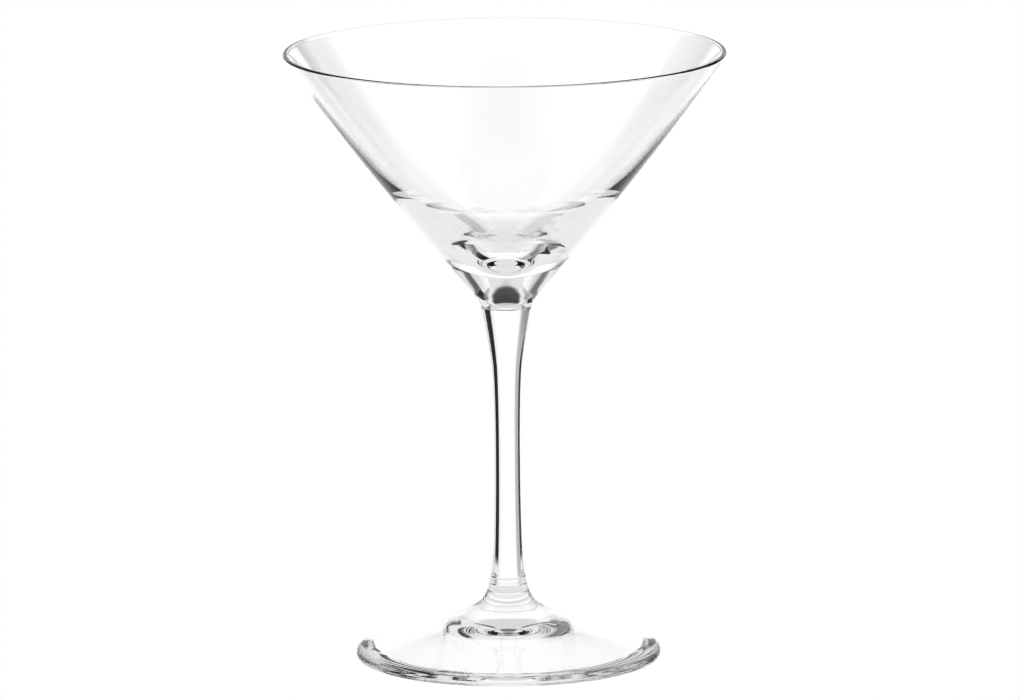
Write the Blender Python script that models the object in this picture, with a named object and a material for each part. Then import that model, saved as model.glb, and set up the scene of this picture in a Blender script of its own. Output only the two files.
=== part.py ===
"""Martini glass: a three-piece stemmed cocktail glass in clear glass.

The origin is on the table, on the glass's own axis, with +Z up. All sizes are in metres. Every piece is
turned from an outline, given as (radius, height) points, so it is round about the Z axis.
"""

import bpy

# Driving dimensions
HEIGHT = 0.167
RIM_RADIUS = 0.060
FOOT_RADIUS = 0.0415
STEM_RADIUS = 0.0035

# Bowl
LIP = 0.0012  # glass thickness at the lip
WELL_Z = 0.1091  # lowest point of the hollow
BOWL_JOINT_Z = 0.0970  # where the solid base of the bowl is fused to the stem
BOWL_JOINT_RADIUS = 0.0069

# Foot
FOOT_JOINT_Z = 0.0205  # where the stem is fused to the boss of the foot
FOOT_JOINT_RADIUS = 0.0052
REST_OUTER = 0.0400  # the flat ring that the glass stands on
REST_INNER = 0.0370
ARCH = 0.0065  # rise of the underside at its middle

# Solids that touch are drawn this far apart
JOINT_GAP = 0.0003

TURN_STEPS = 72
CURVE_STEPS = 5


def curve(start, pull, end, steps=CURVE_STEPS):
    """Points of a quadratic curve that leaves start towards pull, and arrives at end from it."""
    points = []
    for step in range(1, steps + 1):
        t = step / steps
        a, b, c = (1 - t) ** 2, 2 * t * (1 - t), t * t
        points.append(tuple(a * p + b * q + c * r for p, q, r in zip(start, pull, end)))
    return points


def bowl_outline():
    """From the bottom of the hollow up the inside, over the lip, and down the outside to the joint."""
    well = (0.0, WELL_Z)
    dimple = (0.0070, 0.1111)
    well_side = (0.0200, 0.1201)
    shoulder = (0.0315, 0.1309)
    wall_foot = (0.0383, 0.1389)
    lip_in = (RIM_RADIUS - LIP, HEIGHT - LIP / 2)
    lip_out = (RIM_RADIUS, HEIGHT - LIP / 2)
    hip = (0.0236, 0.1185)
    ankle = (0.0108, 0.1030)
    joint = (BOWL_JOINT_RADIUS, BOWL_JOINT_Z + JOINT_GAP / 2)
    points = [well]
    points += curve(well, (0.0027, WELL_Z), dimple, 3)
    points += curve(dimple, (0.0118, 0.1133), well_side)
    points += curve(well_side, (0.0257, 0.1248), shoulder, 3)
    points += curve(shoulder, (0.0333, 0.1328), wall_foot, 2)
    points += curve(wall_foot, (0.0478, 0.1505), lip_in)
    points += curve(lip_in, (lip_in[0], HEIGHT), (RIM_RADIUS - LIP / 2, HEIGHT), 3)
    points += curve(points[-1], (RIM_RADIUS, HEIGHT), lip_out, 3)
    points += curve(lip_out, (0.0432, 0.1424), hip)
    points += [ankle]
    points += curve(ankle, (0.0079, 0.0997), joint, 4)
    points += [(0.0, joint[1])]
    return points


def stem_outline():
    """From the middle of the upper joint down the drawn side to the middle of the lower joint."""
    top = (BOWL_JOINT_RADIUS, BOWL_JOINT_Z - JOINT_GAP / 2)
    neck = (0.0041, 0.0810)
    waist = (STEM_RADIUS, 0.0580)
    ankle = (0.0040, 0.0290)
    bottom = (FOOT_JOINT_RADIUS, FOOT_JOINT_Z + JOINT_GAP / 2)
    points = [(0.0, top[1]), top]
    points += curve(top, (0.0050, 0.0880), neck)
    points += curve(neck, (0.0035, 0.0730), waist)
    points += curve(waist, (0.0035, 0.0400), ankle)
    points += curve(ankle, (0.0043, 0.0240), bottom, 4)
    points += [(0.0, bottom[1])]
    return points


def foot_outline():
    """From the middle of the joint down the boss and the disc, round the edge, and in along the underside."""
    joint = (FOOT_JOINT_RADIUS, FOOT_JOINT_Z - JOINT_GAP / 2)
    boss = (0.0120, 0.0125)
    shoulder = (0.0360, 0.0046)
    edge_top = (0.0402, 0.0030)
    edge = (FOOT_RADIUS, 0.0015)
    rest = (REST_INNER, 0.0)
    cone_foot = (0.0345, 0.0004)
    cone_top = (0.0190, 0.0046)
    dome_side = (0.0130, 0.0058)
    points = [(0.0, joint[1]), joint]
    points += curve(joint, (0.0063, 0.0153), boss)
    points += curve(boss, (0.0168, 0.0101), shoulder)
    points += [edge_top]
    points += curve(edge_top, (FOOT_RADIUS, 0.0026), edge, 3)
    points += curve(edge, (FOOT_RADIUS, 0.0), (REST_OUTER, 0.0), 4)
    points += [rest]
    points += curve(rest, (0.0355, 0.0), cone_foot, 2)
    points += [cone_top]
    points += curve(cone_top, (0.0160, 0.0054), dome_side, 3)
    points += curve(dome_side, (0.0090, ARCH), (0.0, ARCH), 4)
    return points


def glass(name, color):
    material = bpy.data.materials.new(name)
    material.use_nodes = True
    shader = material.node_tree.nodes["Principled BSDF"]
    shader.inputs["Base Color"].default_value = (*color, 1.0)
    shader.inputs["Roughness"].default_value = 0.0
    shader.inputs["Metallic"].default_value = 0.0
    shader.inputs["IOR"].default_value = 1.5
    shader.inputs["Transmission Weight"].default_value = 1.0
    return material


def turned(name, outline, material):
    """One solid of revolution, from an outline that starts and ends on the axis."""
    mesh = bpy.data.meshes.new(name)
    mesh.from_pydata(
        [(radius, 0.0, height) for radius, height in outline],
        [(i, i + 1) for i in range(len(outline) - 1)],
        [],
    )
    mesh.materials.append(material)
    piece = bpy.data.objects.new(name, mesh)
    bpy.context.collection.objects.link(piece)
    turn = piece.modifiers.new("Turn", "SCREW")
    turn.steps = turn.render_steps = TURN_STEPS
    turn.use_merge_vertices = True
    turn.merge_threshold = 0.00001
    turn.use_smooth_shade = True
    return piece


for leftover in list(bpy.data.objects):
    bpy.data.objects.remove(leftover, do_unlink=True)

turned("bowl", bowl_outline(), glass("bowl_glass", (0.96, 0.98, 0.98)))
turned("stem", stem_outline(), glass("stem_glass", (0.95, 0.97, 0.97)))
turned("foot", foot_outline(), glass("foot_glass", (0.95, 0.98, 0.97)))
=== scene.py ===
"""Martini glass in clear glass, standing on a white table in a lit white tent."""

import math

import bpy
from mathutils import Matrix


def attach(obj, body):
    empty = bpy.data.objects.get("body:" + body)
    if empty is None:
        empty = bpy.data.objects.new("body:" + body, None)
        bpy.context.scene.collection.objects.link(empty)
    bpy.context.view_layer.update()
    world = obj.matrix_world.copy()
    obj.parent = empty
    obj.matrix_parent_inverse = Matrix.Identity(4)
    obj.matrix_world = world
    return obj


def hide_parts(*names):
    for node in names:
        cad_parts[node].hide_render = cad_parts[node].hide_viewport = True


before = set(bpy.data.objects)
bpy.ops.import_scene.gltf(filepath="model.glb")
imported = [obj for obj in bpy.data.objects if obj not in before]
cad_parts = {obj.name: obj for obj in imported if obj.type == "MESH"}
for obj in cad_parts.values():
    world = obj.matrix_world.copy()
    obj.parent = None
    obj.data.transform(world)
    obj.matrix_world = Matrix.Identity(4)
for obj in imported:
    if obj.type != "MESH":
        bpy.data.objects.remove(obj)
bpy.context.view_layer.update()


# ---- Camera -------------------------------------------------------------------------------------
# A long lens three metres in front of the glass and half a metre above its rim, looking down by ten
# degrees, so that the rim and the foot both show as narrow ovals. It is tipped by about 0.4 degrees.

CAMERA_AT = (0.0, -3.0, 0.6421)
LOOK_DOWN = math.radians(10.522)
LOOK_RIGHT = math.radians(0.018)
TIP = math.radians(-0.381)
FOCAL_LENGTH, FILM_WIDTH = 396.4, 36.0  # in millimetres
FAR_CLIP = 20.0
PRINT_GAMMA = 0.62  # the deep contrast of a catalogue print
BOUNCES_THROUGH_GLASS, BOUNCES_OFF_GLASS = 32, 16

lens = bpy.data.cameras.new("long_lens")
lens.lens, lens.sensor_width, lens.clip_end = FOCAL_LENGTH, FILM_WIDTH, FAR_CLIP
camera = bpy.data.objects.new("camera", lens)
bpy.context.collection.objects.link(camera)
camera.matrix_world = (
    Matrix.Translation(CAMERA_AT)
    @ Matrix.Rotation(-LOOK_RIGHT, 4, "Z")
    @ Matrix.Rotation(math.radians(90) - LOOK_DOWN, 4, "X")
    @ Matrix.Rotation(TIP, 4, "Z")
)
bpy.context.scene.camera = camera
bpy.context.scene.view_settings.view_transform = "Standard"
bpy.context.scene.view_settings.gamma = PRINT_GAMMA
bpy.context.scene.cycles.max_bounces = BOUNCES_THROUGH_GLASS
bpy.context.scene.cycles.transmission_bounces = BOUNCES_THROUGH_GLASS
bpy.context.scene.cycles.glossy_bounces = BOUNCES_OFF_GLASS


# ---- Studio -------------------------------------------------------------------------------------
# Clear glass shows only what stands round it: a tent of pale paper with a brighter backdrop, a black
# board on each side of that, which draws the dark lines along the stem and the edges, and a dark gap
# overhead. Past the glass, the camera sees plain white.

# Each board gives its sides as (from, to, blur at each), in degrees: round from straight behind the
# glass, with plus to the right, and up from level. Last is how bright it is.
ALL_ROUND = (-200, 200, 1, 1)
PAPER = 0.9  # the tent wherever no board stands
BOARDS = {
    "table": (ALL_ROUND, (-91, -42, 1, 6), 0.85),
    "backdrop": ((-25, 22, 6, 6), (-35, 20, 3, 5), 1.05),
    "backdrop_top": ((-28, 26, 3, 3), (20, 62, 5, 5), 0.80),
    "left_net": ((-46, -28, 3, 5), (-30, 20, 4, 6), 0.60),
    "left_board": ((-75, -47, 2, 3), (-20, 5, 3, 4), 0.0),
    "left_board_top": ((-58, -30, 3, 3), (5, 50, 4, 8), 0.30),
    "right_board": ((30, 50, 2, 2), (-20, 20, 3, 4), 0.0),
    "right_board_top": ((30, 58, 2, 4), (20, 50, 4, 8), 0.20),
    "roof_gap": (ALL_ROUND, (62, 95, 4, 1), 0.10),
}

world = bpy.data.worlds.new("tent")
world.use_nodes = True
bpy.context.scene.world = world
tent = world.node_tree
tent.nodes.clear()


def tent_math(operation, first, second=None):
    node = tent.nodes.new("ShaderNodeMath")
    node.operation = operation
    for socket, value in zip(node.inputs, (first, second)):
        if isinstance(value, (int, float)):
            socket.default_value = value
        elif value is not None:
            tent.links.new(value, socket)
    return node.outputs[0]


def between(angle, low, high, low_blur, high_blur):
    """1 between the two angles and 0 beyond them, with soft ends."""
    ends = []
    for middle, blur, inside in ((low, low_blur, 1.0), (high, high_blur, 0.0)):
        step = tent.nodes.new("ShaderNodeMapRange")
        step.interpolation_type = "SMOOTHSTEP"
        tent.links.new(angle, step.inputs["Value"])
        step.inputs["From Min"].default_value = middle - blur
        step.inputs["From Max"].default_value = middle + blur
        step.inputs["To Min"].default_value = 1.0 - inside
        step.inputs["To Max"].default_value = inside
        ends.append(step.outputs[0])
    return tent_math("MULTIPLY", *ends)


direction = tent.nodes.new("ShaderNodeTexCoord")
parts = tent.nodes.new("ShaderNodeSeparateXYZ")
tent.links.new(direction.outputs["Generated"], parts.inputs[0])
turn = tent_math("DEGREES", tent_math("ARCTAN2", parts.outputs["X"], parts.outputs["Y"]))
rise = tent_math("DEGREES", tent_math("ARCSINE", parts.outputs["Z"]))
brightness = None
for sides, levels, shade in BOARDS.values():
    mix = tent.nodes.new("ShaderNodeMix")
    mix.data_type = "FLOAT"
    tent.links.new(tent_math("MULTIPLY", between(turn, *sides), between(rise, *levels)), mix.inputs[0])
    if brightness is None:
        mix.inputs[2].default_value = PAPER
    else:
        tent.links.new(brightness, mix.inputs[2])
    mix.inputs[3].default_value = shade
    brightness = mix.outputs[0]

glow, backdrop, seen = (
    tent.nodes.new("ShaderNodeBackground"),
    tent.nodes.new("ShaderNodeBackground"),
    tent.nodes.new("ShaderNodeMixShader"),
)
tent.links.new(brightness, glow.inputs["Strength"])
backdrop.inputs["Color"].default_value = (1, 1, 1, 1)
glow.inputs["Color"].default_value = (1, 1, 1, 1)
tent.links.new(tent.nodes.new("ShaderNodeLightPath").outputs["Is Camera Ray"], seen.inputs[0])
tent.links.new(glow.outputs[0], seen.inputs[1])
tent.links.new(backdrop.outputs[0], seen.inputs[2])
tent.links.new(seen.outputs[0], tent.nodes.new("ShaderNodeOutputWorld").inputs[0])


# ---- Table --------------------------------------------------------------------------------------
# A white acrylic table lit from below, so that nothing standing on it throws a shadow. The light
# that reaches the glass from the table is part of the tent, above.

TABLE_REACH = 15.0
TABLE_DROP = 0.0002  # keeps the table just clear of the foot

table_mesh = bpy.data.meshes.new("table")
table_mesh.from_pydata(
    [(x * TABLE_REACH, y * TABLE_REACH, -TABLE_DROP) for x, y in ((-1, -1), (1, -1), (1, 1), (-1, 1))],
    [],
    [(0, 1, 2, 3)],
)
table = bpy.data.objects.new("table", table_mesh)
bpy.context.collection.objects.link(table)
acrylic = bpy.data.materials.new("lit_white_acrylic")
acrylic.use_nodes = True
acrylic_surface = acrylic.node_tree.nodes["Principled BSDF"]
acrylic_surface.inputs["Base Color"].default_value = (0, 0, 0, 1)
acrylic_surface.inputs["Specular IOR Level"].default_value = 0.0
acrylic_surface.inputs["Emission Color"].default_value = (1, 1, 1, 1)
acrylic_surface.inputs["Emission Strength"].default_value = 1.0
table_mesh.materials.append(acrylic)
table.visible_transmission = table.visible_glossy = False


# ---- Bowl ---------------------------------------------------------------------------------------
# The bowl is blown into a mould and spun: a wide cone with a thin wall, over a solid base. Its lip
# is cracked off, ground and melted round. The base is fused to the stem, so the two touching faces
# let light straight through.

RIM_RADIUS, HEIGHT = 0.0600, 0.1670
LIP = 0.0012  # glass thickness at the lip
JOINT_Z, JOINT_RADIUS = 0.0970, 0.0069  # where the base of the bowl is fused to the stem
FUSED_WITHIN = 0.00001  # how near a joint a face counts as fused
GLASS_INDEX = 1.5
STEPS_ROUND = 256
POINT_SPACING, LIP_SPACING = 0.0004, 0.0001  # between the points of an outline
FEWEST_STEPS = 4
SOFTENING = 6  # passes that round off the turns of an outline
WELD_WITHIN = 0.000001


def curve(start, pull, end, spacing=POINT_SPACING):
    """Points of a quadratic curve that leaves start towards pull and arrives at end from it."""
    steps = max(FEWEST_STEPS, round(math.dist(start, end) / spacing))
    points = []
    for step in range(1, steps + 1):
        t = step / steps
        a, b, c = (1 - t) ** 2, 2 * t * (1 - t), t * t
        points.append(tuple(a * p + b * q + c * r for p, q, r in zip(start, pull, end)))
    return points


def drawn(start, *pairs):
    """A line through several curves, given as (pull, end) pairs."""
    points = [start]
    for pull, end in pairs:
        points += curve(points[-1], pull, end)
    return points


def eased(points, passes):
    """The same line with its turns softened, as hot glass flows. Its two ends stay where they are."""
    for _ in range(passes):
        middle = [
            tuple((p + 2 * q + r) / 4 for p, q, r in zip(*three))
            for three in zip(points, points[1:], points[2:])
        ]
        points = [points[0], *middle, points[-1]]
    return points


def turning_tree():
    """Turns an outline of (radius, 0, height) points about the Z axis into one closed body."""
    tree = bpy.data.node_groups.new("turned_glass", "GeometryNodeTree")
    tree.is_modifier = True
    face = tree.interface
    face.new_socket("Outline", in_out="INPUT", socket_type="NodeSocketGeometry")
    for name, kind, value in (
        ("Steps Round", "NodeSocketInt", STEPS_ROUND),
        ("Fused Below", "NodeSocketFloat", -1.0),
        ("Fused Above", "NodeSocketFloat", 1.0),
        ("Glass", "NodeSocketMaterial", None),
        ("Fused Face", "NodeSocketMaterial", None),
    ):
        socket = face.new_socket(name, in_out="INPUT", socket_type=kind)
        if value is not None:
            socket.default_value = value
    face.new_socket("Body", in_out="OUTPUT", socket_type="NodeSocketGeometry")

    def node(kind, links=(), **settings):
        made = tree.nodes.new(kind)
        for key, value in settings.items():
            setattr(made, key, value)
        for socket, value in links:
            if isinstance(value, bpy.types.NodeSocket):
                tree.links.new(value, made.inputs[socket])
            else:
                made.inputs[socket].default_value = value
        return made

    def maths(operation, first, second=0.0):
        return node("ShaderNodeMath", [(0, first), (1, second)], operation=operation).outputs[0]

    given = node("NodeGroupInput").outputs
    size = node("GeometryNodeAttributeDomainSize", [("Geometry", given["Outline"])])
    count = size.outputs["Point Count"]
    columns = maths("ADD", given["Steps Round"], 1.0)
    grid = node("GeometryNodeMeshGrid", [("Vertices X", columns), ("Vertices Y", count)])
    index = node("GeometryNodeInputIndex").outputs[0]
    column = maths("FLOOR", maths("DIVIDE", maths("ADD", index, 0.5), count))
    row = maths("SUBTRACT", index, maths("MULTIPLY", column, count))
    outline = node("GeometryNodeInputPosition").outputs[0]
    spot = node(
        "GeometryNodeSampleIndex",
        [("Geometry", given["Outline"]), ("Value", outline), ("Index", row)],
        data_type="FLOAT_VECTOR",
        domain="POINT",
    )
    spot_parts = node("ShaderNodeSeparateXYZ", [(0, spot.outputs["Value"])]).outputs
    share = maths("DIVIDE", column, given["Steps Round"])
    angle = maths("MULTIPLY", maths("FRACT", share), -math.tau)
    place = node(
        "ShaderNodeCombineXYZ",
        [
            (0, maths("MULTIPLY", maths("COSINE", angle), spot_parts["X"])),
            (1, maths("MULTIPLY", maths("SINE", angle), spot_parts["X"])),
            (2, spot_parts["Z"]),
        ],
    )
    turned = node(
        "GeometryNodeSetPosition",
        [("Geometry", grid.outputs["Mesh"]), ("Position", place.outputs[0])],
    )
    closed = node(
        "GeometryNodeMergeByDistance",
        [("Geometry", turned.outputs[0]), ("Distance", WELD_WITHIN)],
    )
    smooth = node("GeometryNodeSetShadeSmooth", [("Geometry", closed.outputs[0])])
    loose = node("GeometryNodeRealizeInstances", [("Geometry", smooth.outputs[0])])
    glazed = node(
        "GeometryNodeSetMaterial",
        [("Geometry", loose.outputs[0]), ("Material", given["Glass"])],
    )
    at = node("GeometryNodeInputPosition").outputs[0]
    height = node("ShaderNodeSeparateXYZ", [(0, at)]).outputs["Z"]
    under, over = (
        node("FunctionNodeCompare", [(0, height), (1, given[limit])], operation=side).outputs[0]
        for limit, side in (("Fused Below", "LESS_THAN"), ("Fused Above", "GREATER_THAN"))
    )
    either = node("FunctionNodeBooleanMath", [(0, under), (1, over)], operation="OR")
    fused = node(
        "GeometryNodeSetMaterial",
        [
            ("Geometry", glazed.outputs[0]),
            ("Selection", either.outputs[0]),
            ("Material", given["Fused Face"]),
        ],
    )
    node("NodeGroupOutput", [("Body", fused.outputs[0])])
    return tree


def turned_body(name, outline, tree, **inputs):
    """One plain closed mesh, turned from the outline."""
    line = bpy.data.meshes.new(name + "_outline")
    line.from_pydata(
        [(radius, 0.0, height) for radius, height in outline],
        [(i, i + 1) for i in range(len(outline) - 1)],
        [],
    )
    blank = bpy.data.objects.new(name + "_outline", line)
    bpy.context.collection.objects.link(blank)
    turn_modifier = blank.modifiers.new("Turn", "NODES")
    turn_modifier.node_group = tree
    for item in tree.interface.items_tree:
        if item.in_out == "INPUT" and item.name in inputs:
            turn_modifier[item.identifier] = inputs[item.name]
    mesh = bpy.data.meshes.new_from_object(blank.evaluated_get(bpy.context.evaluated_depsgraph_get()))
    bpy.data.objects.remove(blank)
    mesh.name = name
    body = bpy.data.objects.new(name, mesh)
    bpy.context.collection.objects.link(body)
    return body


def fire_polish_group():
    """The skin that a flame leaves on glass: a slow ripple."""
    group = bpy.data.node_groups.new("fire_polish", "ShaderNodeTree")
    face = group.interface
    for name, value in (("Ripple Scale", 90.0), ("Stretch", 1.0)):
        face.new_socket(name, in_out="INPUT", socket_type="NodeSocketFloat").default_value = value
    face.new_socket("Height", in_out="OUTPUT", socket_type="NodeSocketFloat")
    nodes, links = group.nodes, group.links
    given, out = nodes.new("NodeGroupInput"), nodes.new("NodeGroupOutput")
    place, scaled = nodes.new("ShaderNodeTexCoord"), nodes.new("ShaderNodeVectorMath")
    stretch = nodes.new("ShaderNodeCombineXYZ")
    stretch.inputs[0].default_value = stretch.inputs[1].default_value = 1.0
    links.new(given.outputs["Stretch"], stretch.inputs[2])
    scaled.operation = "MULTIPLY"
    links.new(place.outputs["Object"], scaled.inputs[0])
    links.new(stretch.outputs[0], scaled.inputs[1])
    ripple = nodes.new("ShaderNodeTexNoise")
    ripple.inputs["Detail"].default_value = 1.0
    links.new(scaled.outputs[0], ripple.inputs["Vector"])
    links.new(given.outputs["Ripple Scale"], ripple.inputs["Scale"])
    links.new(ripple.outputs[0], out.inputs["Height"])
    return group


def clear_glass(name, ripple_scale, stretch, ripple_depth):
    """Clear soda-lime glass with a fire-polished skin."""
    material = bpy.data.materials.new(name)
    material.use_nodes = True
    nodes, links = material.node_tree.nodes, material.node_tree.links
    surface = nodes["Principled BSDF"]
    surface.inputs["Base Color"].default_value = (1.0, 1.0, 1.0, 1.0)
    surface.inputs["Metallic"].default_value = 0.0
    surface.inputs["Roughness"].default_value = 0.0
    surface.inputs["IOR"].default_value = GLASS_INDEX
    surface.inputs["Transmission Weight"].default_value = 1.0
    skin = nodes.new("ShaderNodeGroup")
    skin.node_tree = fire_polish
    skin.inputs["Ripple Scale"].default_value = ripple_scale
    skin.inputs["Stretch"].default_value = stretch
    bump = nodes.new("ShaderNodeBump")
    bump.inputs["Distance"].default_value = ripple_depth
    links.new(skin.outputs["Height"], bump.inputs["Height"])
    links.new(bump.outputs[0], surface.inputs["Normal"])
    return material


fire_polish = fire_polish_group()
turned_glass = turning_tree()
fused_face = bpy.data.materials.new("fused_face")
fused_face.use_nodes = True
fused_face.node_tree.nodes["Principled BSDF"].inputs["Alpha"].default_value = 0.0

WELL_Z = 0.1094  # lowest point of the hollow
inside = drawn(
    (0.0, WELL_Z),
    ((0.0030, WELL_Z), (0.0080, 0.1118)),
    ((0.0130, 0.1142), (0.0160, 0.1169)),
    ((0.0274, 0.1268), (0.0315, 0.1312)),
    ((0.0342, 0.1341), (0.0385, 0.1394)),
    ((0.0489, 0.1522), (RIM_RADIUS - LIP, HEIGHT - LIP / 2)),
)
over_lip = curve(inside[-1], (RIM_RADIUS - LIP, HEIGHT), (RIM_RADIUS - LIP / 2, HEIGHT), LIP_SPACING)
over_lip += curve(over_lip[-1], (RIM_RADIUS, HEIGHT), (RIM_RADIUS, HEIGHT - LIP / 2), LIP_SPACING)
outside = drawn(
    over_lip[-1],
    ((0.0432, 0.1424), (0.0236, 0.1185)),
    ((0.0172, 0.1108), (0.0108, 0.1030)),
    ((0.0079, 0.0997), (JOINT_RADIUS, JOINT_Z)),
)
bowl = turned_body(
    "bowl_glass",
    eased(inside, SOFTENING) + over_lip + eased(outside, SOFTENING)[1:] + [(0.0, JOINT_Z)],
    turned_glass,
    **{
        "Fused Below": JOINT_Z + FUSED_WITHIN,
        "Glass": clear_glass(
            "blown_clear_glass", ripple_scale=60.0, stretch=1.0, ripple_depth=0.00002
        ),
        "Fused Face": fused_face,
    },
)
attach(bowl, "root")
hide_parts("bowl")


# ---- Stem ---------------------------------------------------------------------------------------
# The stem is a solid rod, drawn out while soft from the gather under the bowl, so it is thinnest
# about its middle. Both its ends are fused on.

STEM_RADIUS = 0.0035
FOOT_JOINT_Z, FOOT_JOINT_RADIUS = 0.0205, 0.0052  # where the stem is fused to the foot

rod = drawn(
    (JOINT_RADIUS, JOINT_Z),
    ((0.0050, 0.0880), (0.0041, 0.0810)),
    ((0.0035, 0.0730), (STEM_RADIUS, 0.0580)),
    ((0.0035, 0.0400), (0.0040, 0.0290)),
    ((0.0043, 0.0240), (FOOT_JOINT_RADIUS, FOOT_JOINT_Z)),
)
stem = turned_body(
    "stem_glass",
    [(0.0, JOINT_Z)] + eased(rod, SOFTENING) + [(0.0, FOOT_JOINT_Z)],
    turned_glass,
    **{
        "Fused Below": FOOT_JOINT_Z + FUSED_WITHIN,
        "Fused Above": JOINT_Z - FUSED_WITHIN,
        "Glass": clear_glass(
            "drawn_clear_glass", ripple_scale=120.0, stretch=0.2, ripple_depth=0.00001
        ),
        "Fused Face": fused_face,
    },
)
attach(stem, "root")
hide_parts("stem")


# ---- Foot ---------------------------------------------------------------------------------------
# The foot is a gather of its own, pressed and spun out into a thin hollow cone with a boss where the
# stem meets it. It stands on a narrow ground ring just inside its rounded edge.

FOOT_RADIUS = 0.0415
REST_OUTER, REST_INNER = 0.0400, 0.0370
ARCH = 0.0065  # rise of the underside at its middle
EDGE_SPACING = 0.0002

top_side = drawn(
    (FOOT_JOINT_RADIUS, FOOT_JOINT_Z),
    ((0.0060, 0.0160), (0.0094, 0.0140)),
    ((0.0124, 0.0122), (0.0186, 0.0100)),
    ((0.0260, 0.0076), (0.0360, 0.0046)),
    ((0.0395, 0.0035), (0.0406, 0.0029)),
)
edge = curve(top_side[-1], (FOOT_RADIUS, 0.0024), (FOOT_RADIUS, 0.0015), EDGE_SPACING)
edge += curve(edge[-1], (FOOT_RADIUS, 0.0002), (REST_OUTER, 0.0), EDGE_SPACING)
underside = [(REST_INNER, 0.0)]
underside += curve(underside[-1], (0.0355, 0.0), (0.0345, 0.0004))
underside += drawn(
    underside[-1],
    ((0.0268, 0.0025), (0.0190, 0.0046)),
    ((0.0160, 0.0054), (0.0130, 0.0058)),
    ((0.0090, ARCH), (0.0, ARCH)),
)[1:]
foot = turned_body(
    "foot_glass",
    [(0.0, FOOT_JOINT_Z)] + eased(top_side, SOFTENING) + edge + eased(underside, SOFTENING),
    turned_glass,
    **{
        "Fused Above": FOOT_JOINT_Z - FUSED_WITHIN,
        "Glass": clear_glass(
            "pressed_clear_glass", ripple_scale=60.0, stretch=1.0, ripple_depth=0.00002
        ),
        "Fused Face": fused_face,
    },
)
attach(foot, "root")
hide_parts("foot")
